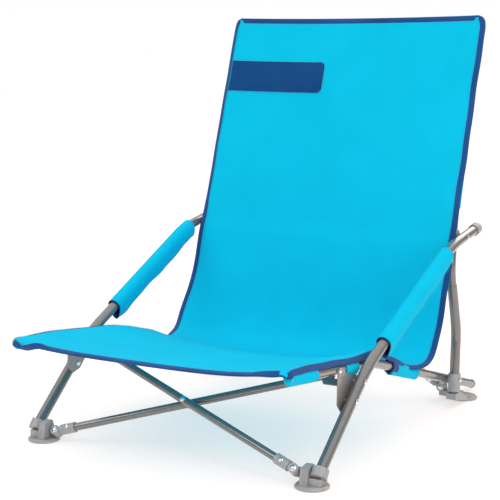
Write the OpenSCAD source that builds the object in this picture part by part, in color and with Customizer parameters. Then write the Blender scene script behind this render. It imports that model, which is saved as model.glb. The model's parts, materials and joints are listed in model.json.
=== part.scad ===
// Folding low camp chair. Two flat side frames are joined by a crossed pair of tubes
// in front and another behind, and a fabric sling is stretched between them.
// Millimetres. X is the width, +Y points to the back of the chair, Z is up.
// Side views are drawn with y = 0 on the line through the two front feet, and every
// part is then moved so that the middle of the chair is over the origin.

/* [Tubes] */
// Outer diameter of the tube that is both front leg and armrest
leg_d = 18; // [17:0.5:19]
// Outer diameter of the lower half of each back post
post_d = 18; // [17.5:0.5:19]
// Outer diameter of the seat rails
rail_d = 16; // [15:0.5:16]
// Outer diameter of the crossed tubes
brace_d = 13; // [12:0.5:13]
// Wall thickness of every tube
wall = 1; // [0.8:0.1:1.2]

/* [Side frame] */
// Distance from the middle of the chair to a leg tube at its foot
leg_x = 262.5; // [262:0.5:264]
// Angle by which the leg and arm tubes spread outwards towards the back
leg_splay = 1.2; // [1.2:0.1:1.5]
// Distance from the middle of the chair to a seat rail, level with the front feet
rail_x = 245.8; // [245:0.1:246]
// Angle by which the seat rails close in towards the back
rail_toe = 0.6; // [0.6:0.1:0.9]
// Distance from the middle of the chair to the foot of a back post
post_x = 260; // [259.8:0.1:260.4]
// Angle by which the back posts lean inwards
post_lean = 1.4; // [1.3:0.1:1.5]

/* [Crossed tubes] */
// Distance between the two pivots of the front crossed tubes, across the chair
front_brace_w = 450; // [440:1:452]
// Distance between the two pivots of the rear crossed tubes, across the chair
rear_brace_w = 434; // [424:1:436]
// Diameter of the hinge pins
pin_d = 6; // [5:0.5:6]

/* [Feet] */
// Diameter of a foot's round base
foot_d = 53; // [48:1:56]
// Thickness of a foot's round base
foot_h = 6; // [5:0.5:7]

/* [Fabric] */
// Thickness of the sling, as it hangs
fabric_t = 2; // [1.5:0.1:2]
// Half the width of the seat panel
seat_half_w = 250; // [240:1:252]
// Half the width of the back panel
back_half_w = 257; // [250:1:260]

/* [Hidden] */
$fn = 48;
fit = 0.05; // radial running clearance of a pin in its bore
gap = 0.3; // clearance between neighbours that only lie against each other
seam = 0.5; // how far a straight stretch reaches into its bend, and a shank into its head
step = 0.13; // how much thicker a bend is than the straight stretch beside it
y_mid = 306.9; // from the front feet to the middle of the chair

leg_r = leg_d / 2;
post_r = post_d / 2;
rail_r = rail_d / 2;
brace_r = brace_d / 2;
upper_post_r = post_r - wall - fit; // slides into the lower half
pin_r = pin_d / 2;
rivet_r = 2.5;
head_r = 5;
head_h = 2;

// Centre lines in the side view, as [y, z], with the bend radius at each point
leg_path = [[2, 26], [150, 151], [478, 302], [592, 321]];
leg_bends = [0, 300, 250, 0];
rail_path = [[-67, 177], [218, 144], [676, 11]];
rail_bends = [0, 300, 0];
post_path = [[536, 28], [548, 140], [523, 248], [538, 345], [657, 694]];
post_bends = [0, 120, 80, 120, 0];
post_joint = along(post_path[1], post_path[2], 0.78); // top of the lower half
post_tail = along(post_path[1], post_path[2], 0.5); // bottom of the upper half

// Pivots of the crossed tubes in the side view
front_low = [-4, 22];
front_high = [97, 150];
rear_low = [590, 24];
rear_foot_at = [251, 606]; // middle of a rear foot's base, as [x, y]
rear_high = [548, 318];
brace_off = brace_r + 0.2; // each tube lies this far from the plane that they share

// Rivets of a side frame in the side view. Each one runs straight along X.
gusset_rivets = [[101, 109.6], [130, 134.1]]; // leg to bracket
rail_rivet = [82, 159.7]; // rail to bracket
low_rivet = [538.5, 51]; // rail to the foot of the post
arm_rivet = along(leg_path[2], leg_path[3], 0.48); // arm to post
post_turn_z = 40; // the post leans about this height
bracket_front = 72; // y of the front bracket's front edge
bracket_x = rail_x_at(bracket_front) + rail_r + 0.1; // inner face of the front bracket
bracket_t = leg_x_at(bracket_front) - leg_r - bracket_x - 0.1;
arm_rivet_x = 241.9; // the arm rivet's buried end
low_collar_t = 2.2; // wall of the collar round the foot of the post
collar_x = 250; // inside the upper collar, on the far side of the post's bore
sleeve_from = 0.19; // start of the arm sleeve, along the arm's straight stretch
sleeve_to = 0.91; // end of the arm sleeve

// Middle of the fabric in the side view, for the seat and for the back
seat_profile = [
    [-68, 186.5], [60, 172], [216, 154.4], [368, 110.6], [400, 106], [425, 109.5], [440, 118]
];
back_profile = [
    [442, 120], [458, 146], [474, 190], [487, 228], [500, 264], [513.5, 300], [521, 326], [528.5, 351],
    [647, 698]
];

// ---- geometry helpers ----

function along(p, q, t) = p + (q - p) * t;
function heading(p, q) = atan2(q[1] - p[1], q[0] - p[0]);
// Middle of a tube across the chair, at a distance behind the front feet or at a height
function leg_x_at(y) = leg_x + y * sin(leg_splay);
function rail_x_at(y) = rail_x - y * sin(rail_toe);
function post_x_at(z) = post_x - (z - post_turn_z) * sin(post_lean);
function turn(path, i) = heading(path[i], path[i + 1]) - heading(path[i - 1], path[i]);
// Length of straight tube that the bend at point i takes up on either side of it
function bend_cut(path, bends, i) = bends[i] == 0 ? 0 : bends[i] * tan(abs(turn(path, i)) / 2);
// The band of a thin sheet around its middle line, as a closed outline
function band(line, t) = concat(
    [for (p = line) p + [0, t / 2]],
    [for (i = [len(line) - 1:-1:0]) line[i] - [0, t / 2]]
);

// Draws every part in its place: side views start at the front feet
module centred() {
    translate([0, -y_mid, 0]) children();
}

// The left half is the right half in a mirror
module sided(side) {
    if (side > 0) children();
    else mirror([1, 0, 0]) children();
}

// Planes of the three side tubes
module leg_plane() {
    translate([leg_x, 0, 0]) rotate([0, 0, -leg_splay]) children();
}

module rail_plane() {
    translate([rail_x, 0, 0]) rotate([0, 0, rail_toe]) children();
}

module post_plane() {
    translate([post_x, 0, post_turn_z]) rotate([0, -post_lean, 0])
        translate([0, 0, -post_turn_z]) children();
}

// Moves to a point of a side view, with Z along the given heading
module at_heading(p, angle) {
    translate([0, p[0], p[1]]) rotate([angle - 90, 0, 0]) children();
}

// A round rod bent in the plane of Y and Z: straight stretches and true arcs. The arcs are
// a hair thicker, and the straights reach into them, so that the union has clean joins.
module bent_rod(path, bends, r, over = 0) {
    last = len(path) - 1;
    for (i = [0:last - 1]) {
        from = bend_cut(path, bends, i) - (i == 0 ? over : seam);
        to = norm(path[i + 1] - path[i]) - bend_cut(path, bends, i + 1) + (i == last - 1 ? over : seam);
        at_heading(path[i], heading(path[i], path[i + 1]))
            translate([0, 0, from]) rotate([0, 0, 90]) cylinder(r = r, h = to - from);
    }
    for (i = [1:1:last - 1]) {
        dir = heading(path[i - 1], path[i]);
        sweep = turn(path, i);
        lean = sweep > 0 ? dir + 90 : dir - 90; // from the tube towards the bend's centre
        start = path[i] - bend_cut(path, bends, i) * [cos(dir), sin(dir)];
        centre = start + bends[i] * [cos(lean), sin(lean)];
        translate([0, centre[0], centre[1]]) rotate([90, 0, 90])
            rotate([0, 0, sweep > 0 ? lean + 180 : lean + 180 + sweep])
                rotate_extrude(angle = abs(sweep), $fn = 96) translate([bends[i], 0]) circle(r + step);
    }
}

module bent_tube(path, bends, ro, ri) {
    difference() {
        bent_rod(path, bends, ro);
        bent_rod(path, bends, ri, 2);
    }
}

// A rivet along X from x0 to x1, with a domed head outside each end
module rivet(x0, x1, r = rivet_r, hr = head_r, hh = head_h) {
    rotate([0, 90, 0]) {
        translate([0, 0, x0 - seam]) cylinder(r = r, h = x1 - x0 + 2 * seam);
        translate([0, 0, x1]) dome(hr, hh);
        translate([0, 0, x0]) mirror([0, 0, 1]) dome(hr, hh);
    }
}

// The same rivet with only its outer head, where the inner end is buried
module blind_rivet(x0, x1) {
    rotate([0, 90, 0]) {
        translate([0, 0, x0]) cylinder(r = rivet_r, h = x1 - x0 + seam);
        translate([0, 0, x1]) dome(head_r, head_h);
    }
}

// Moves to a point of the side view
module at(p) {
    translate([0, p[0], p[1]]) children();
}

// A low domed head of radius r and height h, standing on its flat face
module dome(r, h) {
    ball = (r * r + h * h) / (2 * h);
    intersection() {
        translate([0, 0, h - ball]) sphere(ball);
        cylinder(r = r, h = h);
    }
}

module rivet_hole(x0, x1, r = rivet_r) {
    rotate([0, 90, 0]) translate([0, 0, x0]) cylinder(r = r + fit, h = x1 - x0);
}

// ---- side frames ----

module leg_arm_tube(side) {
    color("gray") centred() sided(side) difference() {
        leg_plane() bent_tube(leg_path, leg_bends, leg_r, leg_r - wall);
        for (p = gusset_rivets) at(p) rivet_hole(240, 290);
        at(arm_rivet) rivet_hole(240, 300);
    }
}

module arm_end_cap(side) {
    color("lightgray") centred() sided(side) leg_plane()
        at_heading(leg_path[3], heading(leg_path[2], leg_path[3])) {
            difference() {
                union() {
                    translate([0, 0, -16]) cylinder(r = leg_r + 1.6, h = 17);
                    translate([0, 0, 1]) dome(leg_r + 1.6, 3);
                }
                translate([0, 0, -20]) cylinder(r = leg_r + fit, h = 20.2);
            }
        }
}

// Loose fabric sleeve: the tube runs along its upper edge
module arm_sleeve(side) {
    p = along(leg_path[1], leg_path[2], sleeve_from);
    q = along(leg_path[1], leg_path[2], sleeve_to);
    color("deepskyblue") centred() sided(side) leg_plane() at_heading(p, heading(p, q))
        difference() {
            linear_extrude(norm(q - p)) hull() {
                circle(leg_r + 2.5);
                translate([0, -15]) circle(leg_r + 1);
            }
            translate([0, 0, -1]) cylinder(r = leg_r + gap, h = norm(q - p) + 2);
        }
}

// Rounded plastic tip that stands in the foot's cup
module leg_tip(side) {
    color("dimgray") centred() sided(side) leg_plane()
        at_heading(leg_path[0], heading(leg_path[0], leg_path[1])) {
            intersection() {
                sphere(leg_r - 0.2);
                translate([0, 0, -leg_r]) cylinder(r = leg_r, h = leg_r);
            }
            cylinder(r = leg_r - wall - fit, h = 14);
        }
}

module seat_rail(side) {
    color("gray") centred() sided(side) difference() {
        rail_plane() bent_tube(rail_path, rail_bends, rail_r, rail_r - wall);
        at(rail_rivet) rivet_hole(220, 270);
        at(low_rivet) rivet_hole(220, 270);
    }
}

module rail_front_plug(side) {
    color("lightgray") centred() sided(side) rail_plane()
        at_heading(rail_path[0], heading(rail_path[0], rail_path[1])) {
            translate([0, 0, -2.5]) cylinder(r = rail_r, h = 2.5);
            cylinder(r = rail_r - wall - fit, h = 14);
        }
}

module rail_rear_plug(side) {
    color("lightgray") centred() sided(side) rail_plane()
        at_heading(rail_path[2], heading(rail_path[1], rail_path[2])) {
            translate([0, 0, -14]) cylinder(r = rail_r - wall - fit, h = 15);
            translate([0, 0, fit]) cylinder(r = rail_r + 0.6, h = 5 - fit);
            translate([0, 0, 5]) dome(rail_r + 0.6, 3);
        }
}

module back_post_lower(side) {
    path = [post_path[0], post_path[1], post_joint];
    color("gray") centred() sided(side) difference() {
        post_plane() bent_tube(path, [0, post_bends[1], 0], post_r, post_r - wall);
        at(low_rivet) rivet_hole(220, 290);
    }
}

module back_post_upper(side) {
    path = [post_tail, post_path[2], post_path[3], post_path[4]];
    color("gray") centred() sided(side) difference() {
        post_plane() bent_tube(path, [0, post_bends[2], post_bends[3], 0], upper_post_r, upper_post_r - wall);
        at(arm_rivet) rivet_hole(230, 270);
    }
}

module post_top_plug(side) {
    color("lightgray") centred() sided(side) post_plane()
        at_heading(post_path[4], heading(post_path[3], post_path[4])) {
            translate([0, 0, -14]) cylinder(r = upper_post_r - wall - fit, h = 14);
            dome(upper_post_r, 3);
        }
}

// Short sleeve round the foot of the post, riveted to the rail beside it
module lower_collar(side) {
    dir = heading(post_path[0], post_path[1]);
    color("lightgray") centred() sided(side) difference() {
        post_plane() at_heading(post_path[0], dir) translate([0, 0, 1.5]) rotate([0, 0, 90])
            cylinder(r = post_r + low_collar_t, h = 32);
        post_plane() at_heading(post_path[0], dir) rotate([0, 0, 90]) cylinder(r = post_r + fit, h = 50);
        at(low_rivet) rivet_hole(220, 290);
    }
}

// Collar that ties the arm to the post and carries the rear crossed tube's hinge
module upper_collar(side) {
    post_dir = heading(post_path[2], post_path[3]);
    level = (arm_rivet[1] - post_path[2][1]) / (post_path[3][1] - post_path[2][1]);
    low = along(post_path[2], post_path[3], level) - 12 * [cos(post_dir), sin(post_dir)];
    spacer = leg_x_at(arm_rivet[0]) - leg_r - gap - collar_x; // reaches to the arm
    color("lightgray") centred() sided(side) difference() {
        union() {
            post_plane() at_heading(low, post_dir) rotate([0, 0, 90])
                cylinder(r = upper_post_r + 3, h = 24);
            translate([collar_x, arm_rivet[0], arm_rivet[1]]) rotate([0, 90, 0]) cylinder(r = 8, h = spacer);
            translate([230, 533, 306]) cube([20, 18, 18]);
            hinge_ear(rear_low, rear_high, rear_brace_w, side) translate([0, -10]) square([24, 14]);
        }
        post_plane() at_heading(low, post_dir) translate([0, 0, -30]) rotate([0, 0, 90])
            cylinder(r = upper_post_r + fit, h = 80);
        at(arm_rivet) rivet_hole(arm_rivet_x - 0.2, 300);
        brace_plane(rear_low, rear_high) translate([rear_brace_w / 2, brace_rise(rear_low, rear_high), 0])
            cylinder(r = pin_r + fit, h = 40, center = true);
    }
}

// Steel bracket between the leg and the rail, with the front crossed tube's hinge
module front_bracket(side) {
    outline = [
        [84, 95], [bracket_front, 108], [74, 150], [74, 163.5], [93, 162.5],
        [106, 148], [132, 146], [143, 138], [105, 100]
    ];
    color("silver") centred() sided(side) difference() {
        union() {
            translate([bracket_x, 0, 0]) rotate([90, 0, 90]) linear_extrude(bracket_t) polygon(outline);
            hinge_ear(front_low, front_high, front_brace_w, side)
                polygon([[-7, 0], [-7, -10], [0, -20], [29.4, -20], [29.4, -9], [9, -9], [7, 0]]);
        }
        for (p = concat(gusset_rivets, [rail_rivet])) at(p) rivet_hole(245, 265);
        brace_plane(front_low, front_high) translate([front_brace_w / 2, brace_rise(front_low, front_high), 0])
            cylinder(r = pin_r + fit, h = 20, center = true);
    }
}

// A flat ear beside a crossed tube's upper pivot: round the pin, and the given outline from it
module hinge_ear(low, high, width, side) {
    brace_plane(low, high) translate([width / 2, brace_rise(low, high), ear_floor(side)])
        linear_extrude(3) {
            circle(7);
            children();
        }
}

// The right ear is in front of its tube, and the left ear is behind
function ear_floor(side) = side > 0 ? 0.1 : -3.1;

// Every rivet that holds one side frame together
module side_rivets(side) {
    rest = 0.35; // a head lies this far off its tube
    color("white") centred() sided(side) {
        for (p = gusset_rivets) at(p) rivet(bracket_x - rest, leg_x_at(p[0]) + leg_r + rest);
        at(rail_rivet) rivet(rail_x_at(rail_rivet[0]) - rail_r - rest, bracket_x + bracket_t + rest);
        at(low_rivet) rivet(
            rail_x_at(low_rivet[0]) - rail_r - rest,
            post_x_at(low_rivet[1]) + post_r + low_collar_t + rest
        );
        at(arm_rivet) blind_rivet(arm_rivet_x, leg_x_at(arm_rivet[0]) + leg_r + rest);
    }
}

// ---- crossed tubes ----

function brace_rise(low, high) = norm(high - low);
function brace_len(low, high, width) = norm([width, brace_rise(low, high)]);
function brace_angle(low, high, width) = atan2(brace_rise(low, high), width);

// The plane that holds a pair of crossed tubes: X across, Y up the plane, Z to the front
module brace_plane(low, high) {
    translate([0, low[0], low[1]]) rotate([heading(low, high), 0, 0]) children();
}

// Along one crossed tube from its foot pivot, with X along the tube.
// Tube a rises to the right and lies behind, tube b rises to the left and lies in front.
module brace_line(low, high, width, side) {
    brace_plane(low, high) sided(side)
        translate([-width / 2, 0, -side * brace_off]) rotate([0, 0, brace_angle(low, high, width)]) children();
}

brace_end = 10; // from an upper pivot to the tube's end
socket_end = 12; // from a foot pivot to the tube's end
socket_rivet = 24; // from a foot pivot to the socket's rivet
brace_rivet_r = 2;
neck_r = 5.8; // of an eye or a socket, beside its round end

module brace(low, high, width, side) {
    length = brace_len(low, high, width);
    color("gray") centred() brace_line(low, high, width, side) difference() {
        translate([socket_end, 0, 0]) rotate([90, 0, 90]) cylinder(r = brace_r, h = length - socket_end - brace_end);
        rotate([90, 0, 90]) cylinder(r = brace_r - wall, h = length);
        translate([length / 2, 0, 0]) cylinder(r = brace_rivet_r + fit, h = 20, center = true);
        translate([socket_rivet, 0, 0]) cylinder(r = brace_rivet_r + fit, h = 20, center = true);
    }
}

// Plastic eye that plugs into a crossed tube's upper end
module brace_eye(low, high, width, side) {
    color("dimgray") centred() brace_line(low, high, width, side)
        translate([brace_len(low, high, width), 0, 0]) difference() {
            union() {
                cylinder(r = 8, h = brace_d - 0.4, center = true);
                rotate([0, -90, 0]) translate([0, 0, 5]) cylinder(r = neck_r, h = brace_end - 5);
                rotate([0, -90, 0]) translate([0, 0, 5]) cylinder(r = brace_r - wall - fit, h = 22);
            }
            cylinder(r = pin_r + fit, h = 30, center = true);
        }
}

// Plastic socket round a crossed tube's lower end, with the foot's hinge eye
module brace_socket(low, high, width, side) {
    color("lightgray") centred() brace_line(low, high, width, side) difference() {
        union() {
            cylinder(r = 8, h = brace_d - 0.4, center = true);
            rotate([0, 90, 0]) translate([0, 0, 5]) cylinder(r = neck_r, h = 7);
            rotate([0, 90, 0]) translate([0, 0, 10]) cylinder(r = brace_r + 2.1, h = 26);
        }
        rotate([0, 90, 0]) translate([0, 0, socket_end]) cylinder(r = brace_r + fit, h = 30);
        cylinder(r = pin_r + fit, h = 30, center = true);
        translate([socket_rivet, 0, 0]) cylinder(r = brace_rivet_r + fit, h = 20, center = true);
    }
}

// The socket's rivet, and the rivet at the crossing. In front, one rivet on tube b
// goes through both tubes. Behind, each tube carries its own half.
module brace_rivets(low, high, width, side, crossing) {
    half = brace_r + 0.1;
    color("white") centred() brace_line(low, high, width, side) rotate([0, -90, 0]) {
        translate([0, 0, -socket_rivet]) rivet(-half - 2.1, half + 2.1, brace_rivet_r, 4, 1.6);
        translate([0, 0, -brace_len(low, high, width) / 2]) {
            if (crossing == "through") rivet(-half - 2 * brace_off, half, brace_rivet_r, 5, 2);
            if (crossing == "half" && side > 0) rivet_half(half);
            if (crossing == "half" && side < 0) mirror([1, 0, 0]) rivet_half(half);
        }
    }
}

// Half a rivet, flush with the tube on the side where the other tube lies
module rivet_half(half) {
    rotate([0, -90, 0]) {
        translate([0, 0, -half + 0.2]) cylinder(r = brace_rivet_r, h = 2 * half - 0.2 + seam);
        translate([0, 0, half]) dome(5, 2);
    }
}

// Hinge pin at a crossed tube's upper pivot, through the ear and the eye
module upper_pin(low, high, width, side) {
    color("black") centred() brace_plane(low, high) sided(side)
        translate([width / 2, brace_rise(low, high), 0]) mirror([0, 0, side > 0 ? 1 : 0])
            pin(-3.3, 2 * brace_off - 0.1);
}

// A pin along Z from z0 to z1, with a domed head outside each end
module pin(z0, z1) {
    rotate([0, -90, 0]) rivet(z0, z1, pin_r, 5, 2.2);
}

// ---- feet ----

// Round base with a rounded rim
module foot_base() {
    r = foot_d / 2;
    rotate_extrude($fn = 64) polygon([[0, 0], [r - 1, 0], [r, 1], [r, foot_h - 2.5], [r - 3, foot_h], [0, foot_h]]);
}

// Flat ear behind the foot's hinge eye, and what joins it to the foot
module foot_ear(low, high, width, side) {
    floor = -side * -brace_off - brace_r - 3.1;
    brace_plane(low, high) translate([width / 2, 0, floor]) linear_extrude(2.9) {
        circle(8);
        children();
    }
}

module foot_pin_bore(low, high, width) {
    brace_plane(low, high) translate([width / 2, 0, 0]) cylinder(r = pin_r + fit, h = 60, center = true);
}

module foot_pin(low, high, width, side) {
    middle = side * brace_off;
    color("silver") centred() sided(side) brace_plane(low, high) translate([width / 2, 0, middle])
        pin(-brace_r - 3.3, brace_r);
}

// Front foot: a web carries the hinge ear on one side and the leg's cup on the other
module front_foot(side) {
    up = heading(front_low, front_high);
    color("lightgray") centred() sided(side) difference() {
        union() {
            translate([250, 0, 0]) foot_base();
            translate([237, 0, 0]) rotate([90, 0, 90]) linear_extrude(13)
                polygon([[-18, 4], [-13, 31], [7, 34], [18, 4]]);
            translate([249, -12, 3]) cube([20, 24, 14]);
            translate([leg_x, 0, 0]) at_heading(leg_path[0], up) translate([0, 0, -11]) cylinder(r = 13, h = 15);
            foot_ear(front_low, front_high, front_brace_w, side) translate([0, -8]) square([14, 16]);
        }
        translate([leg_x, 0, 0]) at_heading(leg_path[0], up) translate([0, 0, -9.2]) cylinder(r = 10.8, h = 40);
        foot_pin_bore(front_low, front_high, front_brace_w);
    }
}

// Rear foot: the post stands on its spigot, and an arm under the rail carries the hinge ear
module rear_foot(side) {
    color("lightgray") centred() sided(side) difference() {
        union() {
            translate([rear_foot_at[0], rear_foot_at[1], 0]) foot_base();
            translate([250, 0, 0]) rotate([90, 0, 90]) linear_extrude(18)
                polygon([[525, 16], [525, 27], [547, 27], [576, 14], [606, 6], [606, 2], [586, 2]]);
            translate([post_x, post_path[0][0], 26]) cylinder(r1 = 6, r2 = 4.5, h = 9);
            translate([212, 585, 5]) cube([40, 22, 9]);
            foot_ear(rear_low, rear_high, rear_brace_w, side) translate([-6, -16]) square([14, 16]);
        }
        foot_pin_bore(rear_low, rear_high, rear_brace_w);
    }
}

// ---- fabric ----

// The sling's seat, stretched over the two rails
module seat_panel() {
    color("deepskyblue") centred() translate([-seat_half_w, 0, 0]) rotate([90, 0, 90])
        linear_extrude(2 * seat_half_w) polygon(band(seat_profile, fabric_t));
}

// The sling's back, in front of the two posts
module back_panel() {
    color("deepskyblue") centred() translate([-back_half_w, 0, 0]) rotate([90, 0, 90])
        linear_extrude(2 * back_half_w) polygon(back_band());
}

// The back stands up, so its thickness runs along Y
function back_band() = concat(
    [for (p = back_profile) p - [fabric_t / 2, 0]],
    [for (i = [len(back_profile) - 1:-1:0]) back_profile[i] + [fabric_t / 2, 0]]
);

leg_arm_tube(-1);  // leg_arm_tube_left
leg_arm_tube(1);  // leg_arm_tube_right
arm_end_cap(-1);  // arm_end_cap_left
arm_end_cap(1);  // arm_end_cap_right
arm_sleeve(-1);  // arm_sleeve_left
arm_sleeve(1);  // arm_sleeve_right
leg_tip(-1);  // leg_tip_left
leg_tip(1);  // leg_tip_right
seat_rail(-1);  // seat_rail_left
seat_rail(1);  // seat_rail_right
rail_front_plug(-1);  // rail_front_plug_left
rail_front_plug(1);  // rail_front_plug_right
rail_rear_plug(-1);  // rail_rear_plug_left
rail_rear_plug(1);  // rail_rear_plug_right
back_post_lower(-1);  // back_post_lower_left
back_post_lower(1);  // back_post_lower_right
back_post_upper(-1);  // back_post_upper_left
back_post_upper(1);  // back_post_upper_right
post_top_plug(-1);  // post_top_plug_left
post_top_plug(1);  // post_top_plug_right
lower_collar(-1);  // lower_collar_left
lower_collar(1);  // lower_collar_right
upper_collar(-1);  // upper_collar_left
upper_collar(1);  // upper_collar_right
front_bracket(-1);  // front_bracket_left
front_bracket(1);  // front_bracket_right
side_rivets(-1);  // side_rivets_left
side_rivets(1);  // side_rivets_right
upper_pin(front_low, front_high, front_brace_w, -1);  // front_hinge_pin_left
upper_pin(front_low, front_high, front_brace_w, 1);  // front_hinge_pin_right
upper_pin(rear_low, rear_high, rear_brace_w, -1);  // rear_hinge_pin_left
upper_pin(rear_low, rear_high, rear_brace_w, 1);  // rear_hinge_pin_right
brace(front_low, front_high, front_brace_w, 1);  // front_brace_a
brace(front_low, front_high, front_brace_w, -1);  // front_brace_b
brace(rear_low, rear_high, rear_brace_w, 1);  // rear_brace_a
brace(rear_low, rear_high, rear_brace_w, -1);  // rear_brace_b
brace_eye(front_low, front_high, front_brace_w, 1);  // front_brace_a_eye
brace_eye(front_low, front_high, front_brace_w, -1);  // front_brace_b_eye
brace_eye(rear_low, rear_high, rear_brace_w, 1);  // rear_brace_a_eye
brace_eye(rear_low, rear_high, rear_brace_w, -1);  // rear_brace_b_eye
brace_socket(front_low, front_high, front_brace_w, 1);  // front_brace_a_socket
brace_socket(front_low, front_high, front_brace_w, -1);  // front_brace_b_socket
brace_socket(rear_low, rear_high, rear_brace_w, 1);  // rear_brace_a_socket
brace_socket(rear_low, rear_high, rear_brace_w, -1);  // rear_brace_b_socket
brace_rivets(front_low, front_high, front_brace_w, 1, "none");  // front_brace_a_rivets
brace_rivets(front_low, front_high, front_brace_w, -1, "through");  // front_brace_b_rivets
brace_rivets(rear_low, rear_high, rear_brace_w, 1, "half");  // rear_brace_a_rivets
brace_rivets(rear_low, rear_high, rear_brace_w, -1, "half");  // rear_brace_b_rivets
front_foot(-1);  // front_foot_left
front_foot(1);  // front_foot_right
rear_foot(-1);  // rear_foot_left
rear_foot(1);  // rear_foot_right
foot_pin(front_low, front_high, front_brace_w, -1);  // front_foot_pin_left
foot_pin(front_low, front_high, front_brace_w, 1);  // front_foot_pin_right
foot_pin(rear_low, rear_high, rear_brace_w, -1);  // rear_foot_pin_left
foot_pin(rear_low, rear_high, rear_brace_w, 1);  // rear_foot_pin_right
seat_panel();
back_panel();
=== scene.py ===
# The looks of the folding camp chair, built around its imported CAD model.
# Metres. Side-view curves are [distance behind the front feet, height], as the frame's
# tubes are laid out, and side() turns such a point into one in the chair's own frame.
import json
import math

import bmesh
import bpy
import numpy as np
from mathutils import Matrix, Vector


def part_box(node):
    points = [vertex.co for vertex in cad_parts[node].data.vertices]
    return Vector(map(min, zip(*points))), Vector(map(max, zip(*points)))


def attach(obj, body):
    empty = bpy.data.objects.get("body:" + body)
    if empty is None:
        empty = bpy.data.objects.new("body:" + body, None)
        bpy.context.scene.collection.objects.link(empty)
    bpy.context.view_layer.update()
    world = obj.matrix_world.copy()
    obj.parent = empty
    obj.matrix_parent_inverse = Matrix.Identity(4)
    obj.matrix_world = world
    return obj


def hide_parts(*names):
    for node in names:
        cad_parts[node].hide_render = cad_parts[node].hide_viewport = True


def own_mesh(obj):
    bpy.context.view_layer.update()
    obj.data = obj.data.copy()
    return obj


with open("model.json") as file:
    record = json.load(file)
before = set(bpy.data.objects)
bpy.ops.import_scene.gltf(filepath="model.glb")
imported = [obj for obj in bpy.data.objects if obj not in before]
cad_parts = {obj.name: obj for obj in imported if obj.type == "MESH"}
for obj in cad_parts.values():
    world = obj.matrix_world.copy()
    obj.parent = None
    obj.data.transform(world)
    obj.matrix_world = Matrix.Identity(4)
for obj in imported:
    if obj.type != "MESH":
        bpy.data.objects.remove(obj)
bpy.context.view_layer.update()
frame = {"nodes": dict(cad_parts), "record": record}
MOUNTS = {m["name"]: Vector(m["pos_m"]) for m in frame["record"]["mounts"]}
FRONT_Y = MOUNTS["front_left_foot"].y
SIDES = {"left": -1, "right": 1}

# ---- places taken from the frame ----

LEG_R = 0.009  # radii of the tubes
RAIL_R = 0.008
POST_R = 0.00795
RAIL_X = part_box("rail_front_plug_right")[1].x - RAIL_R
RAIL_TOE = math.radians(0.6)
POST_TOP_X = (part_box("post_top_plug_right")[0].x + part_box("post_top_plug_right")[1].x) / 2
POST_LEAN = math.radians(1.4)
LEG_X = (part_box("leg_tip_right")[0].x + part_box("leg_tip_right")[1].x) / 2
LEG_SPLAY = math.radians(1.2)

# Middle lines of a rail, the upper part of a post, and an arm, in the side view
RAIL = [[-0.067, 0.177], [0.218, 0.1432], [0.676, 0.011]]
POST = [[0.523, 0.248], [0.538, 0.345], [0.657, 0.694]]
ARM = [[0.150, 0.151], [0.478, 0.302], [0.592, 0.321]]


def side(x, y, z):
    """A point in the chair's frame, from x, the distance behind the front feet, and the height."""
    return Vector((x, y + FRONT_Y, z))


def lerp(a, b, t):
    return a + (b - a) * t


def smooth(t):
    t = np.clip(t, 0.0, 1.0)
    return t * t * (3 - 2 * t)


def rail_at(y):
    """Height of a seat rail's middle, at a distance behind the front feet."""
    return float(np.interp(y, [p[0] for p in RAIL], [p[1] for p in RAIL]))


def rail_x(y):
    """Distance from the middle of the chair to a seat rail's middle."""
    return RAIL_X - (y - RAIL[0][0]) * math.sin(RAIL_TOE)


def post_x(z):
    """Distance from the middle of the chair to a post's middle."""
    return POST_TOP_X - (z - POST[2][1]) * math.sin(POST_LEAN)


# ---- materials ----


def material(name, color, rough, metal=0.0):
    """A new material with its shader, ready for more nodes."""
    m = bpy.data.materials.new(name)
    m.use_nodes = True
    b = m.node_tree.nodes["Principled BSDF"]
    b.inputs["Base Color"].default_value = (*color, 1)
    b.inputs["Roughness"].default_value = rough
    b.inputs["Metallic"].default_value = metal
    return m, m.node_tree, b


def node(tree, kind, **inputs):
    n = tree.nodes.new(kind)
    for key, value in inputs.items():
        n.inputs[key.replace("_", " ")].default_value = value
    return n


def coordinates(tree, stretch=(1, 1, 1)):
    """Object coordinates, stretched along each axis."""
    place = tree.nodes.new("ShaderNodeTexCoord")
    move = tree.nodes.new("ShaderNodeMapping")
    move.inputs["Scale"].default_value = stretch
    tree.links.new(place.outputs["Object"], move.inputs["Vector"])
    return move.outputs["Vector"]


def ramp(tree, factor, low, high, dark, light):
    """The factor's range from low to high, turned into colours from dark to light."""
    n = tree.nodes.new("ShaderNodeValToRGB")
    n.color_ramp.elements[0].position = low
    n.color_ramp.elements[1].position = high
    n.color_ramp.elements[0].color = (*dark, 1)
    n.color_ramp.elements[1].color = (*light, 1)
    tree.links.new(factor, n.inputs["Fac"])
    return n.outputs["Color"]


def bump(tree, shader, height, strength, distance, below=None):
    n = node(tree, "ShaderNodeBump", Strength=strength, Distance=distance)
    tree.links.new(height, n.inputs["Height"])
    if below is not None:
        tree.links.new(below, n.inputs["Normal"])
    tree.links.new(n.outputs["Normal"], shader.inputs["Normal"])
    return n.outputs["Normal"]


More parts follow.
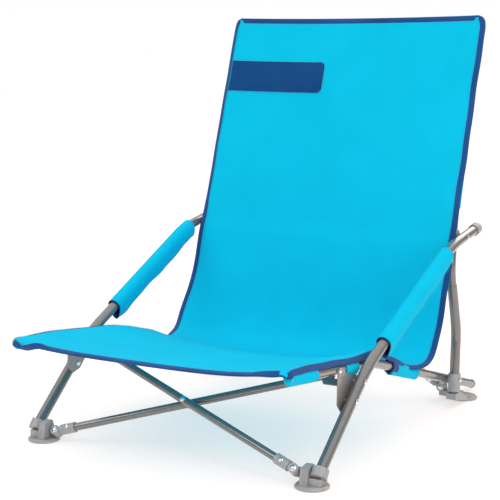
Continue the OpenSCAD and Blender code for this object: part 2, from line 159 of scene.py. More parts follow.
def weave(tree, pitch):
    """Height of a plain weave whose threads lie a pitch apart, from crossed waves."""
    out = []
    for axis, stretch in (("X", (1, 0, 0)), ("Z", (0, 0.6, 1))):
        w = node(tree, "ShaderNodeTexWave", Scale=1.0)
        w.wave_type = "BANDS"
        w.bands_direction = "DIAGONAL" if axis == "Z" else "X"
        w.wave_profile = "SIN"
        place = coordinates(tree, tuple(s / pitch / 3.2 for s in stretch))
        tree.links.new(place, w.inputs["Vector"])
        out.append(w.outputs["Fac"])
    add = tree.nodes.new("ShaderNodeMath")
    add.operation = "ADD"
    tree.links.new(out[0], add.inputs[0])
    tree.links.new(out[1], add.inputs[1])
    return add.outputs[0]


def cloth(name, dark, light, pitch=0.0009, sheen=0.25):
    """Woven polyester: thread relief, soft uneven dye and a slight sheen."""
    m, tree, b = material(name, light, 0.82)
    place = coordinates(tree)
    tone = node(tree, "ShaderNodeTexNoise", Scale=9.0, Detail=5.0, Roughness=0.6)
    tree.links.new(place, tone.inputs["Vector"])
    tree.links.new(ramp(tree, tone.outputs["Fac"], 0.3, 0.7, dark, light), b.inputs["Base Color"])
    pucker = node(tree, "ShaderNodeTexNoise", Scale=26.0, Detail=3.0)
    tree.links.new(place, pucker.inputs["Vector"])
    soft = bump(tree, b, pucker.outputs["Fac"], 0.22, 0.004)
    bump(tree, b, weave(tree, pitch), 0.3, 0.0003, soft)
    b.inputs["Sheen Weight"].default_value = sheen
    b.inputs["Sheen Roughness"].default_value = 0.5
    b.inputs["Specular IOR Level"].default_value = 0.05
    return m


def coated_steel(name, dark, light, rough):
    """Grey lacquered steel: a fine fleck, gloss that varies in soft patches, and a clear coat."""
    m, tree, b = material(name, light, rough, 0.5)
    place = coordinates(tree)
    fleck = node(tree, "ShaderNodeTexNoise", Scale=900.0, Detail=2.0)
    tree.links.new(place, fleck.inputs["Vector"])
    tree.links.new(ramp(tree, fleck.outputs["Fac"], 0.35, 0.65, dark, light), b.inputs["Base Color"])
    rub = node(tree, "ShaderNodeTexNoise", Scale=45.0, Detail=6.0, Roughness=0.7)
    tree.links.new(place, rub.inputs["Vector"])
    spread = node(tree, "ShaderNodeMapRange", To_Min=rough * 0.75, To_Max=rough * 1.4)
    tree.links.new(rub.outputs["Fac"], spread.inputs["Value"])
    tree.links.new(spread.outputs["Result"], b.inputs["Roughness"])
    bump(tree, b, fleck.outputs["Fac"], 0.05, 0.0002)
    b.inputs["Coat Weight"].default_value = 0.7
    b.inputs["Coat Roughness"].default_value = 0.05
    return m


def plastic(name, dark, light, rough):
    """Moulded plastic: a fine spark texture and slightly cloudy colour."""
    m, tree, b = material(name, light, rough)
    place = coordinates(tree)
    cloud = node(tree, "ShaderNodeTexNoise", Scale=60.0, Detail=4.0)
    tree.links.new(place, cloud.inputs["Vector"])
    tree.links.new(ramp(tree, cloud.outputs["Fac"], 0.3, 0.7, dark, light), b.inputs["Base Color"])
    grain = node(tree, "ShaderNodeTexNoise", Scale=2200.0, Detail=2.0)
    tree.links.new(place, grain.inputs["Vector"])
    bump(tree, b, grain.outputs["Fac"], 0.18, 0.0002)
    return m


def plated(name, color):
    """Bright plating, a little scuffed."""
    m, tree, b = material(name, color, 0.2, 1.0)
    place = coordinates(tree)
    scuff = node(tree, "ShaderNodeTexNoise", Scale=500.0, Detail=5.0)
    tree.links.new(place, scuff.inputs["Vector"])
    spread = node(tree, "ShaderNodeMapRange", To_Min=0.1, To_Max=0.34)
    tree.links.new(scuff.outputs["Fac"], spread.inputs["Value"])
    tree.links.new(spread.outputs["Result"], b.inputs["Roughness"])
    bump(tree, b, scuff.outputs["Fac"], 0.08, 0.0002)
    return m


CYAN = cloth("cyan_cloth", (0.001, 0.470, 0.700), (0.0015, 0.510, 0.750), sheen=0.01)
NAVY = cloth("navy_tape", (0.006, 0.052, 0.190), (0.012, 0.085, 0.270), 0.0006, 0.15)
NAVY_PATCH = cloth("navy_patch", (0.003, 0.052, 0.180), (0.005, 0.070, 0.225), 0.0007, 0.08)
THREAD = cloth("thread", (0.060, 0.440, 0.680), (0.100, 0.540, 0.780), 0.0004, 0.1)
NAVY_THREAD = cloth("navy_thread", (0.004, 0.045, 0.180), (0.010, 0.080, 0.300), 0.0004, 0.3)
LOOKS = {
    "tube": coated_steel("grey_tube", (0.150, 0.147, 0.143), (0.225, 0.221, 0.215), 0.17),
    "bracket": coated_steel("grey_bracket", (0.190, 0.190, 0.190), (0.270, 0.270, 0.265), 0.34),
    "light_plastic": plastic("light_plastic", (0.290, 0.290, 0.290), (0.370, 0.370, 0.368), 0.36),
    "dark_plastic": plastic("dark_plastic", (0.040, 0.040, 0.042), (0.065, 0.065, 0.068), 0.4),
    "black_plastic": plastic("black_plastic", (0.010, 0.010, 0.010), (0.020, 0.020, 0.020), 0.35),
    "rivet": plated("bright_rivet", (0.800, 0.800, 0.810)),
    "fabric": CYAN,
}


def paint_frame():
    """Gives every CAD node the look of its slot."""
    for s in frame["record"]["subparts"]:
        mesh = frame["nodes"][s["node"]].data
        mesh.materials.clear()
        mesh.materials.append(LOOKS[s["material_slot"]])


# ---- mesh helpers ----


def new_mesh(name, points, faces, mat, sharp=False):
    mesh = bpy.data.meshes.new(name)
    mesh.from_pydata([tuple(p) for p in points], [], faces)
    mesh.update()
    tidy = bmesh.new()
    tidy.from_mesh(mesh)
    bmesh.ops.recalc_face_normals(tidy, faces=tidy.faces)
    tidy.to_mesh(mesh)
    tidy.free()
    for f in mesh.polygons:
        f.use_smooth = not sharp
    mesh.materials.append(mat)
    obj = bpy.data.objects.new(name, mesh)
    bpy.context.scene.collection.objects.link(obj)
    return obj


def rings_to_faces(rings, per_ring, closed_ring=True, closed_path=False):
    """Quads that join rings of points one after another."""
    faces = []
    for i in range(rings if closed_path else rings - 1):
        j = (i + 1) % rings
        for k in range(per_ring if closed_ring else per_ring - 1):
            n = (k + 1) % per_ring
            faces.append((i * per_ring + k, i * per_ring + n, j * per_ring + n, j * per_ring + k))
    return faces


def modify(obj, kind, **settings):
    """Adds a modifier and applies it to the mesh."""
    m = obj.modifiers.new(kind.lower(), kind)
    for key, value in settings.items():
        setattr(m, key, value)
    bpy.context.view_layer.objects.active = obj
    with bpy.context.temp_override(object=obj, active_object=obj, selected_objects=[obj]):
        bpy.ops.object.modifier_apply(modifier=m.name)
    return obj


def curve_through(points, count):
    """Points an even way apart along a smooth curve through the given ones."""
    p = np.array(points, float)
    ends = np.vstack([2 * p[0] - p[1], p, 2 * p[-1] - p[-2]])
    fine = []
    for i in range(1, len(ends) - 2):
        a, b, c, d = ends[i - 1], ends[i], ends[i + 1], ends[i + 2]
        for t in np.linspace(0, 1, 30, endpoint=False):
            fine.append(0.5 * (2 * b + (c - a) * t + (2 * a - 5 * b + 4 * c - d) * t**2
                               + (3 * b - a - 3 * c + d) * t**3))
    fine = np.array(fine + [p[-1]])
    run = np.concatenate([[0], np.cumsum(np.linalg.norm(np.diff(fine, axis=0), axis=1))])
    even = np.linspace(0, run[-1], count)
    return np.stack([np.interp(even, run, fine[:, k]) for k in range(p.shape[1])], 1), run[-1]


# ---- the sling ----

SHEET_T = 0.0011  # thickness of the cloth
TAPE_W = 0.0085  # how far the edge tape reaches onto the cloth
CLEAR = 0.0014  # from a rail to the middle of the cloth over it
POST_CLEAR = 0.0030  # from a post to the middle of the cloth in front of it, with the pocket between
FREE_START = 0.2463  # half the width of the back, up to where its edges start to turn
CURL = 0.022  # length of cloth that curls down at the front edge
ROUND = 0.011  # radius of the sling's corners
LEFT_FRONT_ROUND = 0.021  # and of its left front corner, which is softer
RAIL_TURN = 0.014  # radius that the cloth's edge turns round, over a rail
FREE_TURN = 0.09  # and in the fold, where nothing holds it
POST_TURN = 0.026  # and in front of a post
RAIL_REACH = 0.0150  # how far the turned edge goes on, over a rail
BACK_REACH = 0.0160  # and on the back
FLARE = 0.011  # how much further out the left edge stands in the fold
FLARE_AT = 0.555  # where it does, as a distance along the sling
TOP_PULL = 0.0035  # how far the pockets pull the edge in at the top
POST_FROM = 0.31  # height from which the cloth lies along the posts

FOLD_AT = 0.51  # distance along the sling to the creases of its fold
FOLD_CREASES = ((-0.19, 0.9), (-0.12, 0.5), (0.03, -0.2), (0.14, -0.6), (0.20, -1.0))  # [x, slant]
SEAT_AT = 0.22  # distance along the sling to the middle of the ridges beside the rails
SEAT_RIDGES = ((-0.215, 0.10), (0.205, -0.16), (0.222, -0.05))  # [x, slant]


def sling_line():
    """The cloth in the side view near its edges: seat, fold and back, and its length."""
    seat = [[y, rail_at(y) + RAIL_R + CLEAR + 0.0004] for y in (-0.082, 0.0, 0.1, 0.2, 0.29)]
    fold = [[0.344, 0.1155], [0.383, 0.1070], [0.410, 0.1080], [0.434, 0.1180], [0.452, 0.1410]]
    rise = [[0.468, 0.174], [0.483, 0.217], [0.4975, 0.258], [0.510, 0.298], [0.520, 0.322]]
    lean = math.atan2(POST[2][1] - POST[1][1], POST[2][0] - POST[1][0])
    off = POST_R + POST_CLEAR
    back = []
    for t in (0.06, 0.3, 0.65, 1.008):
        back.append([lerp(POST[1][0], POST[2][0], t) - off * math.sin(lean),
                     lerp(POST[1][1], POST[2][1], t) + off * math.cos(lean)])
    return curve_through(seat + fold + rise + back, 1600)


FINE_LINE, LINE_LENGTH = sling_line()
RUN = np.concatenate([np.linspace(0, 0.030, 16), np.linspace(0.037, LINE_LENGTH - 0.036, 138),
                      np.linspace(LINE_LENGTH - 0.030, LINE_LENGTH, 16)])
ROWS = len(RUN)
FINE_RUN = np.linspace(0, LINE_LENGTH, len(FINE_LINE))
LINE = np.stack([np.interp(RUN, FINE_RUN, FINE_LINE[:, k]) for k in (0, 1)], 1)
LINE_DIR = np.stack([np.interp(RUN, FINE_RUN, g) for g in np.gradient(FINE_LINE, axis=0).T], 1)
LINE_DIR /= np.linalg.norm(LINE_DIR, axis=1, keepdims=True)
LINE_UP = np.stack([-LINE_DIR[:, 1], LINE_DIR[:, 0]], 1)


def corner_cut(d, radius):
    """How far a rounded corner pulls the edge in, at a distance d from its end."""
    if d >= radius:
        return 0.0
    return radius - math.sqrt(radius**2 - (radius - d) ** 2)


def row_facts(i, left):
    """For one row of the cloth: where its edge starts to turn, round what radius, and how far.
    left is 1 for the left edge, which stands further out in the fold, and 0 for the right one."""
    y, z = LINE[i]
    off_rail = smooth((y - 0.34) / 0.07)
    on_post = smooth((z - POST_FROM) / 0.06) if y > 0.45 else 0.0
    start = lerp(rail_x(y) - 0.006, FREE_START, off_rail)
    start += left * FLARE * math.exp(-(((RUN[i] - FLARE_AT) / 0.050) ** 2))
    radius = 1 / lerp(1 / RAIL_TURN, lerp(1 / FREE_TURN, 1 / POST_TURN, on_post), off_rail)
    reach = lerp(RAIL_REACH, BACK_REACH, off_rail)
    to_top = LINE_LENGTH - RUN[i]
    reach -= corner_cut(to_top, ROUND) + TOP_PULL * smooth(1 - to_top / 0.024)
    reach -= corner_cut(RUN[i], lerp(ROUND, LEFT_FRONT_ROUND, left))
    return start, radius, reach


def sag(i, across):
    """How far the cloth hangs below its edges, away from them."""
    t = RUN[i] / LINE_LENGTH
    deep = 0.0075 * math.sin(math.pi * min(t / 0.42, 1.0)) + 0.0095
    deep -= 0.0015 * float(smooth((t - 0.45) / 0.2))
    return deep * (1 - abs(across) ** 2.4)


def lift(i, side_sign):
    """How far the edge of the seat stands off its rail, more where no loop holds it down."""
    y = LINE[i][0]
    on_seat = 1 - float(smooth((y - 0.30) / 0.07))
    if side_sign < 0:
        return on_seat * 0.0040 * float(smooth((y + 0.06) / 0.10))
    return on_seat * (0.0062 + 0.0065 * math.exp(-(((y - 0.225) / 0.042) ** 2)))


def folds(i, x):
    """Soft unevenness of the stretched cloth, creases in its fold and ridges beside the rails."""
    s = RUN[i]
    h = 0.0009 * math.sin(11 * s + 6 * x) * math.sin(9 * x + 2.1)
    h += 0.0005 * math.sin(31 * s - 17 * x + 0.7)
    near_fold = math.exp(-(((s - FOLD_AT) / 0.070) ** 2))
    for k, (cx, slant) in enumerate(FOLD_CREASES):
        d = x - cx - slant * (s - FOLD_AT)
        h -= 0.0014 * near_fold * math.exp(-((d / 0.013) ** 2)) * (1 - 0.1 * k)
    at_rails = math.exp(-(((s - SEAT_AT) / 0.16) ** 2))
    for cx, slant in SEAT_RIDGES:
        d = x - cx - slant * (s - SEAT_AT)
        h += 0.0009 * at_rails * math.exp(-((d / 0.008) ** 2))
    return h


def curl_turn(u):
    """How far the front edge curls down: little in the middle, and over the left rail's end."""
    at_corner = 1.9 if u < 0 else 0.85
    return lerp(0.45, at_corner, float(smooth((abs(u) - 0.80) / 0.20)))


def sling_point(i, u):
    """A point of the cloth, at row i and at u from -1 on the left edge to 1 on the right."""
    start, radius, reach = row_facts(i, 1 if u < 0 else 0)
    ripple = 0.0009 * math.sin(RUN[i] * 47 + (0.9 if u > 0 else 0)) * math.sin(RUN[i] * 19 + 1)
    total = start + reach + ripple
    d = abs(u) * total
    stand_off = lift(i, u)
    if d <= start:
        across = d / start
        up = stand_off * across**6 - sag(i, across) + folds(i, math.copysign(d, u)) * (1 - across**4)
        x = d
    else:
        turn = (d - start) / radius
        x = start + radius * math.sin(turn)
        up = stand_off - radius * (1 - math.cos(turn))
    back = 0.0
    if RUN[i] < CURL:
        turned = curl_turn(u)
        s = CURL - RUN[i]
        angle = turned * s / CURL
        back = s - CURL / turned * math.sin(angle)
        up -= CURL / turned * (1 - math.cos(angle))
    y, z = LINE[i] + LINE_DIR[i] * back + LINE_UP[i] * up
    return side(math.copysign(x, u), y, z)


def across_steps():
    """Even steps in the middle and finer ones where the cloth turns at its edges."""
    middle = np.linspace(-0.92, 0.92, 50)
    edge = np.linspace(0.928, 1.0, 12)
    return np.concatenate([-edge[::-1], middle, edge])


STEPS = across_steps()
GRID = np.array([[sling_point(i, u) for u in STEPS] for i in range(ROWS)])
EDGE_STEPS = 12  # columns of the grid in each edge's fine part


def sling_normals():
    along = np.gradient(GRID, axis=0)
    across = np.gradient(GRID, axis=1)
    n = np.cross(across, along)
    return n / np.linalg.norm(n, axis=2, keepdims=True)


NORMALS = sling_normals()


def ride_side(obj, where):
    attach(obj, f"{where}_side")
    return obj


def crumple(obj):
    """Parents a piece of the sling to the left side's body and gives it a mesh of its own."""
    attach(obj, "left_side")
    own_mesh(obj)
    return obj


def make_sling():
    points = GRID.reshape(-1, 3)
    faces = rings_to_faces(ROWS, len(STEPS), closed_ring=False)
    obj = new_mesh("sling", points, faces, CYAN)
    modify(obj, "SOLIDIFY", thickness=SHEET_T, offset=0.0)
    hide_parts("seat_panel", "back_panel")
    return obj


def border():
    """Row and column of each point on the cloth's edge, all the way round."""
    right, top = len(STEPS) - 1, ROWS - 1
    path = [(0, c) for c in range(0, right)] + [(r, right) for r in range(0, top)]
    return path + [(top, c) for c in range(right, 0, -1)] + [(r, 0) for r in range(top, 0, -1)]


def unit(v):
    v = np.array(v, float)
    return v / max(np.linalg.norm(v), 1e-9)


def edge_frames():
    """Along the cloth's edge: the point, the way into the cloth and the way out of its face."""
    path = [GRID[r, c] for r, c in border()]
    out = []
    for k, (r, c) in enumerate(border()):
        along = unit(path[(k + 1) % len(path)] - path[k - 1])
        normal = unit(NORMALS[r, c])
        out.append((path[k], unit(np.cross(normal, along)), normal))
    return out


def tape_section():
    """The tape's outline as [into the cloth, off the cloth], round the raw edge."""
    half = SHEET_T / 2 + 0.0008
    top = [[TAPE_W, half - 0.0005], [TAPE_W - 0.001, half], [0.003, half + 0.0002]]
    nose = [[-0.0008, half], [-0.0018, 0.0], [-0.0008, -half]]
    return top + nose + [[a, -b] for a, b in top[::-1]]


def make_tape():
    """Folded tape round the whole edge of the sling."""
    section = tape_section()
    points = [p + inner * a + normal * b for p, inner, normal in edge_frames() for a, b in section]
    faces = rings_to_faces(len(border()), len(section), True, True)
    obj = new_mesh("sling_edge_tape", points, faces, NAVY)
    return obj


def stitches(name, path, normals, pitch, length, width, mat):
    """Short raised threads in a row, a pitch apart, along a path that lies on a cloth."""
    path, normals = np.array(path), np.array(normals)
    run = np.concatenate([[0], np.cumsum(np.linalg.norm(np.diff(path, axis=0), axis=1))])
    points, faces = [], []
    s = pitch / 2
    while s + length < run[-1]:
        ends = [np.array([np.interp(t, run, path[:, k]) for k in range(3)]) for t in (s, s + length)]
        normal = unit([np.interp(s, run, normals[:, k]) for k in range(3)])
        along = unit(ends[1] - ends[0])
        beside = np.cross(normal, along) * width / 2
        base = len(points)
        for share, high, spread in ((0, 0, 0.5), (0.25, 0.7, 1), (0.75, 0.7, 1), (1, 0, 0.5)):
            middle = ends[0] + (ends[1] - ends[0]) * share
            edge = beside * spread
            points += [middle - edge, middle + normal * width * high, middle + edge]
        for k in range(3):
            a = base + 3 * k
            faces += [(a, a + 1, a + 4, a + 3), (a + 1, a + 2, a + 5, a + 4), (a + 2, a, a + 3, a + 5)]
        faces += [(base, base + 2, base + 1), (base + 9, base + 10, base + 11)]
        s += pitch
    return new_mesh(name, points, faces, mat)


def edge_row(name, inset, high, mat, pitch, length):
    """A row of stitches that follows the sling's edge, a little way in from it."""
    frames = edge_frames()
    path = [p + inner * inset + normal * high for p, inner, normal in frames]
    obj = stitches(name, path, [normal for p, inner, normal in frames], pitch, length, 0.0007, mat)
    return obj


# ---- the plain patch on the back ----

PATCH_ALONG = (0.086, 0.148)  # from the top of the back to the patch's top and bottom
PATCH_WIDE = 0.203
PATCH_ROUND = 0.010


def on_sling(x, from_top, off):
    """A point off the front of the cloth at x, a distance down from its top edge."""
    row = np.interp(LINE_LENGTH - from_top, RUN, np.arange(ROWS))
    r = min(int(row), ROWS - 2)
    t = row - r
    out = []
    for k in (r, r + 1):
        xs = GRID[k, :, 0]
        inside = np.arange(EDGE_STEPS // 2, len(STEPS) - EDGE_STEPS // 2)
        p = [np.interp(x, xs[inside], GRID[k, inside, a]) for a in range(3)]
        n = [np.interp(x, xs[inside], NORMALS[k, inside, a]) for a in range(3)]
        out.append((np.array(p), np.array(n)))
    p = lerp(out[0][0], out[1][0], t)
    n = unit(lerp(out[0][1], out[1][1], t))
    return p + n * (SHEET_T / 2 + off), n


def patch_left():
    """Where the patch goes under the edge tape of the back."""
    return float(GRID[ROWS - 30, 0, 0]) + TAPE_W - 0.001


def patch_right_edge(v):
    """How far the rounded right corners pull the patch's edge in, at v from 0 to 1 down it."""
    tall = PATCH_ALONG[1] - PATCH_ALONG[0]
    d = min(v, 1 - v) * tall
    if d >= PATCH_ROUND:
        return 0.0
    return PATCH_ROUND - math.sqrt(PATCH_ROUND**2 - (PATCH_ROUND - d) ** 2)


def make_patch():
    across, down = 60, 26
    left = patch_left()
    vs = np.concatenate([[0, 0.01, 0.03, 0.07, 0.12], np.linspace(0.17, 0.83, down - 10),
                         [0.88, 0.93, 0.97, 0.99, 1]])
    points = []
    for v in vs:
        right = left + PATCH_WIDE - patch_right_edge(v)
        for u in np.linspace(0, 1, across):
            points.append(on_sling(lerp(left, right, u), lerp(*PATCH_ALONG, v), 0.0004)[0])
    faces = rings_to_faces(len(vs), across, closed_ring=False)
    obj = new_mesh("back_patch", points, faces, NAVY_PATCH)
    modify(obj, "SOLIDIFY", thickness=0.0007, offset=0.0)
    return obj


def make_patch_stitches():
    """Light thread along the patch's top, rounded right side and bottom."""
    left, tall = patch_left(), PATCH_ALONG[1] - PATCH_ALONG[0]
    right = left + PATCH_WIDE
    outline = [(left + 0.004, PATCH_ALONG[0])]
    quarter = [math.radians(15 * k) for k in range(7)]
    for a in quarter[::-1]:
        across, down = PATCH_ROUND * (1 - math.cos(a)), PATCH_ROUND * (1 - math.sin(a))
        outline.append((right - across, PATCH_ALONG[0] + down))
    for a in quarter:
        across, down = PATCH_ROUND * (1 - math.cos(a)), PATCH_ROUND * (1 - math.sin(a))
        outline.append((right - across, PATCH_ALONG[0] + tall - down))
    outline.append((left + 0.004, PATCH_ALONG[1]))
    fine = []
    for (ax, ad), (bx, bd) in zip(outline, outline[1:]):
        steps = max(2, int(math.hypot(bx - ax, bd - ad) / 0.003))
        fine += [(lerp(ax, bx, t), lerp(ad, bd, t)) for t in np.linspace(0, 1, steps, endpoint=False)]
    placed = [on_sling(x, d, 0.0005) for x, d in fine + [outline[-1]]]
    path, normals = [p for p, n in placed], [n for p, n in placed]
    obj = stitches("patch_stitches", path, normals, 0.0030, 0.0025, 0.0015, THREAD)
    return obj


# ---- casings sewn round the tubes ----


def sleeve_round(name, centre_line, radius, mat, point_at, point_by, closed_end=False):
    """A cloth casing round a tube, drawn out by point_by to a seam at angle point_at round it.
    With closed_end it closes in a dome over the last point of its line."""
    sides, thick, dome = 32, 0.0009, 0.0052
    line = np.array(centre_line)
    tangents = np.gradient(line, axis=0)
    points = []
    for k, (p, t) in enumerate(zip(line, tangents)):
        t = unit(t)
        out = unit(np.cross(t, [1, 0, 0]))
        wide = unit(np.cross(out, t))
        for a in np.linspace(0, 2 * math.pi, sides, endpoint=False):
            r = radius + 0.0002 * math.sin(3 * a + 0.9 * k)
            r += point_by * max(0.0, math.cos(a - point_at)) ** 4
            points.append(p + r * (math.cos(a) * out + math.sin(a) * wide))
    rings = len(line)
    if closed_end:
        top, last = line[-1], points[-sides:]
        for share in (0.35, 0.65, 0.9):
            rise = dome * math.sin(share * math.pi / 2)
            shrink = math.cos(share * math.pi / 2)
            points += [top + (q - top) * shrink + unit(tangents[-1]) * rise for q in last]
            rings += 1
    faces = rings_to_faces(rings, sides)
    if closed_end:
        faces.append(tuple(range((rings - 1) * sides, rings * sides)))
    obj = new_mesh(name, points, faces, mat)
    modify(obj, "SOLIDIFY", thickness=thick, offset=-1.0)
    return obj


RAIL_CASINGS = {"front": (-0.0665, 0.012), "middle": (0.108, 0.152), "rear": (0.290, 0.398)}
RAIL_CASING_R = RAIL_R + 0.0013
SEAM_POINT = 0.0040  # how far a loop is drawn out to its seam
REAR_BAND = (0.284, 0.306)  # navy binding round the front end of the rear loop


def rail_line(s, a, b):
    """Points of a rail's middle from a to b behind the front feet, on the side of sign s."""
    return [side(s * rail_x(y), y, rail_at(y)) for y in np.linspace(a, b, 14)]


def make_rail_casings(where):
    """The cloth loops that the seat rail runs through, the front one closed over its end."""
    s = SIDES[where]
    for label, (a, b) in RAIL_CASINGS.items():
        closed = label == "front"
        obj = sleeve_round(f"rail_casing_{label}_{where}", rail_line(s, b, a), RAIL_CASING_R, CYAN,
                           math.pi, 0.0012 if closed else SEAM_POINT, closed)
        ride_side(obj, where)
    band = sleeve_round(f"rail_band_{where}", rail_line(s, *REAR_BAND), RAIL_CASING_R + 0.0011, NAVY,
                        math.pi, SEAM_POINT)
    ride_side(band, where)


def make_post_casing(where):
    """The long pocket on the back of the sling that the post stands in, closed at the top."""
    s = SIDES[where]
    line = []
    for t in np.linspace(0.05, 0.996, 40):
        y, z = lerp(POST[1][0], POST[2][0], t), lerp(POST[1][1], POST[2][1], t)
        line.append(side(s * post_x(z), y, z))
    radius = POST_R + 0.0014
    seam_at = s * (math.pi / 2 + 0.7)
    obj = sleeve_round(f"post_casing_{where}", line, radius, CYAN, seam_at, 0.0012, True)
    ride_side(obj, where)


# ---- arm sleeves ----

ARM_FROM = {"left": 0.235, "right": 0.185}  # shares of the arm's straight stretch
ARM_TO = {"left": 1.02, "right": 0.935}
SLEEVE_RINGS, SLEEVE_SIDES = 52, 44
SLEEVE_HANG = 0.0276  # how far a sleeve hangs below the middle of its tube
SLEEVE_LOW = 0.0098  # half its width down there
SLEEVE_TOP = LEG_R + 0.0036  # its radius over the tube


def arm_line(s):
    """The middle of an arm from the top of the leg to its bend and on, as fine points."""
    corner, bend, cut = np.array(ARM[1]), [], 0.033
    before = corner + (np.array(ARM[0]) - corner) * cut / np.linalg.norm(np.array(ARM[0]) - corner)
    after = corner + (np.array(ARM[2]) - corner) * cut / np.linalg.norm(np.array(ARM[2]) - corner)
    for t in np.linspace(0, 1, 12):
        bend.append((1 - t) ** 2 * before + 2 * t * (1 - t) * corner + t**2 * after)
    path = np.array([ARM[0]] + bend + [ARM[2]])
    return np.array([side(s * (LEG_X + y * math.sin(LEG_SPLAY)), y, z) for y, z in path])


def arm_at(s, t):
    """A point of the arm's middle line, t times the straight stretch's length along it."""
    line = arm_line(s)
    run = np.concatenate([[0], np.cumsum(np.linalg.norm(np.diff(line, axis=0), axis=1))])
    straight = math.hypot(ARM[1][0] - ARM[0][0], ARM[1][1] - ARM[0][1])
    return Vector([np.interp(t * straight, run, line[:, k]) for k in range(3)])


def sleeve_outline(t):
    """The loose sleeve's section at t along it: round over the tube, and a seam hanging below."""
    hang = SLEEVE_HANG + 0.0016 * math.sin(11.5 * t + 0.6) + 0.0008 * math.sin(27 * t)
    end = min(t, 1 - t)
    hang *= 1 - 0.14 * (1 - float(smooth(end / 0.10)))
    low = SLEEVE_LOW + 0.0010 * math.sin(14 * t + 2)
    out = []
    for k in range(SLEEVE_SIDES):
        a = 2 * math.pi * k / SLEEVE_SIDES
        up, wide = math.cos(a), math.sin(a)
        down = float(smooth(-up))
        half = lerp(SLEEVE_TOP, low, down)
        height = SLEEVE_TOP * up if up > 0 else hang * up
        crease = 0.0005 * math.sin(5 * a + 9 * t) * down
        out.append((wide * (half + crease), height))
    return out


def make_arm_sleeve(where):
    """The loose sleeve on an arm, cyan outside and navy inside, and the stitches of its seam."""
    s = SIDES[where]
    wide = Vector((1, 0, 0))
    points, ups, middles = [], [], []
    for i in range(SLEEVE_RINGS):
        t = i / (SLEEVE_RINGS - 1)
        share = lerp(ARM_FROM[where], ARM_TO[where], t)
        middle = arm_at(s, share)
        along = (arm_at(s, share + 0.01) - arm_at(s, share - 0.01)).normalized()
        up = wide.cross(along)
        up = -up if up.z < 0 else up
        for w, h in sleeve_outline(t):
            skew = 0.006 * max(0.0, -h / 0.03) * (1 if t > 0.5 else -1) * abs(2 * t - 1) ** 8
            points.append(middle + wide * w + up * h + along * skew)
        middles.append(middle)
        ups.append(up)
    faces = rings_to_faces(SLEEVE_RINGS, SLEEVE_SIDES)
    obj = new_mesh(f"arm_cover_{where}", points, faces, CYAN)
    obj.data.materials.append(NAVY)
    modify(obj, "SOLIDIFY", thickness=0.0013, offset=-1.0, material_offset=1, material_offset_rim=1)
    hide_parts(f"arm_sleeve_{where}")
    ride_side(obj, where)
    seam = []
    for i in range(1, SLEEVE_RINGS - 1):
        low = sleeve_outline(i / (SLEEVE_RINGS - 1))[SLEEVE_SIDES // 2][1]
        seam.append(middles[i] + ups[i] * (low + 0.0040) + wide * s * 0.0086)
    outward = [tuple(wide * s)] * len(seam)
    sewn = stitches(f"arm_cover_stitches_{where}", seam, outward, 0.0045, 0.003, 0.0006, THREAD)
    ride_side(sewn, where)


# ---- set ----


def make_camera():
    """A camera in front of the chair, to its right and a little above it, with a long lens."""
    turn, rise = math.radians(29.986), math.radians(8.317)
    data = bpy.data.cameras.new("camera")
    data.lens, data.sensor_width = 98.1, 36.0
    cam = bpy.data.objects.new("camera", data)
    bpy.context.scene.collection.objects.link(cam)
    cam.location = side(1.14072, -1.72723, 0.63812)
    look = Vector((-math.sin(turn) * math.cos(rise), math.cos(turn) * math.cos(rise), -math.sin(rise)))
    cam.rotation_euler = look.to_track_quat("-Z", "Y").to_euler()
    data.clip_end = 50
    bpy.context.scene.camera = cam


def area_light(name, place, target, size, power):
    data = bpy.data.lights.new(name, "AREA")
    data.shape = "RECTANGLE"
    data.size, data.size_y = size
    data.energy = power
    obj = bpy.data.objects.new(name, data)
    bpy.context.scene.collection.objects.link(obj)
    obj.location = place
    obj.rotation_euler = (Vector(target) - Vector(place)).to_track_quat("-Z", "Y").to_euler()


def glowing_floor():
    """A pale floor that keeps its brightness far from the lights. Its own colour is a little warm,
    against the blue light that the cloth throws on it."""
    m, tree, b = material("pale_floor", (0.62, 0.50, 0.46), 0.9)
    place = coordinates(tree)
    mottle = node(tree, "ShaderNodeTexNoise", Scale=3.0, Detail=3.0)
    tree.links.new(place, mottle.inputs["Vector"])
    tree.links.new(ramp(tree, mottle.outputs["Fac"], 0.3, 0.7, (0.60, 0.48, 0.44), (0.64, 0.52, 0.48)),
                   b.inputs["Base Color"])
    b.inputs["Emission Color"].default_value = (1, 1, 1, 1)
    b.inputs["Emission Strength"].default_value = 0.56
    b.inputs["Specular IOR Level"].default_value = 0.0
    return m


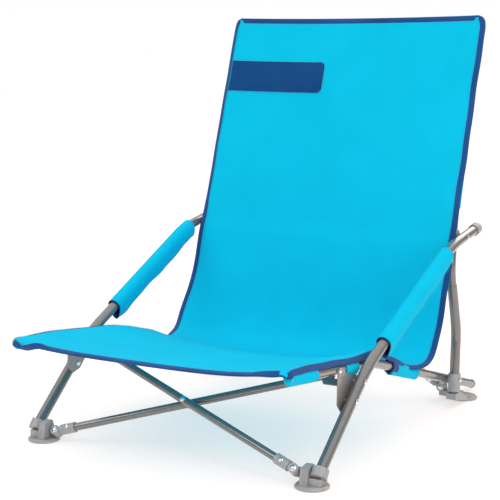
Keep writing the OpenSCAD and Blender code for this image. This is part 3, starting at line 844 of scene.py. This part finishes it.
def studio_world():
    """White above and grey round the sides, so that the tubes show a dark edge; white to look at."""
    world = bpy.data.worlds.new("studio")
    world.use_nodes = True
    tree = world.node_tree
    place = tree.nodes.new("ShaderNodeTexCoord")
    split = tree.nodes.new("ShaderNodeSeparateXYZ")
    tree.links.new(place.outputs["Generated"], split.inputs["Vector"])
    shade = ramp(tree, split.outputs["Z"], 0.05, 0.75, (0.20, 0.20, 0.20), (1.25, 1.25, 1.25))
    sides = tree.nodes["Background"]
    tree.links.new(shade, sides.inputs["Color"])
    backdrop = node(tree, "ShaderNodeBackground", Color=(1, 1, 1, 1), Strength=1.0)
    seen_straight = tree.nodes.new("ShaderNodeLightPath")
    mix = tree.nodes.new("ShaderNodeMixShader")
    tree.links.new(seen_straight.outputs["Is Camera Ray"], mix.inputs["Fac"])
    tree.links.new(sides.outputs["Background"], mix.inputs[1])
    tree.links.new(backdrop.outputs["Background"], mix.inputs[2])
    tree.links.new(mix.outputs["Shader"], tree.nodes["World Output"].inputs["Surface"])
    bpy.context.scene.world = world


def make_set():
    floor = new_mesh("floor", [(-14, -14, 0), (14, -14, 0), (14, 14, 0), (-14, 14, 0)], [(0, 1, 2, 3)],
                     glowing_floor())
    floor.location.z = -0.0004
    studio_world()
    area_light("key", (-1.5, -2.4, 2.3), (0, 0, 0.3), (1.8, 1.4), 21)
    area_light("fill", (2.6, -1.4, 1.3), (0, 0, 0.3), (0.45, 1.8), 22)
    area_light("rim", (0.4, 2.6, 2.2), (0, 0, 0.4), (2.0, 0.8), 14)
    bpy.context.scene.view_settings.view_transform = "Standard"


paint_frame()
sling = make_sling()
tape = make_tape()
tape_stitches = edge_row("sling_tape_stitches", TAPE_W - 0.002, SHEET_T / 2 + 0.0008, NAVY_THREAD,
                         0.0045, 0.0032)
# A row of light thread a little inside the tape: stitching, made lighter than the cloth to paint the
# highlight along the ridge beside the tape.
ridge_highlight_stitches = edge_row("sling_ridge_highlight_stitches", TAPE_W + 0.0016, SHEET_T / 2, THREAD, 0.0040, 0.0033)
patch = make_patch()
patch_stitches = make_patch_stitches()
for piece in (sling, tape, tape_stitches, ridge_highlight_stitches, patch, patch_stitches):
    crumple(piece)
for where in SIDES:
    make_rail_casings(where)
    make_post_casing(where)
    make_arm_sleeve(where)
make_camera()
make_set()
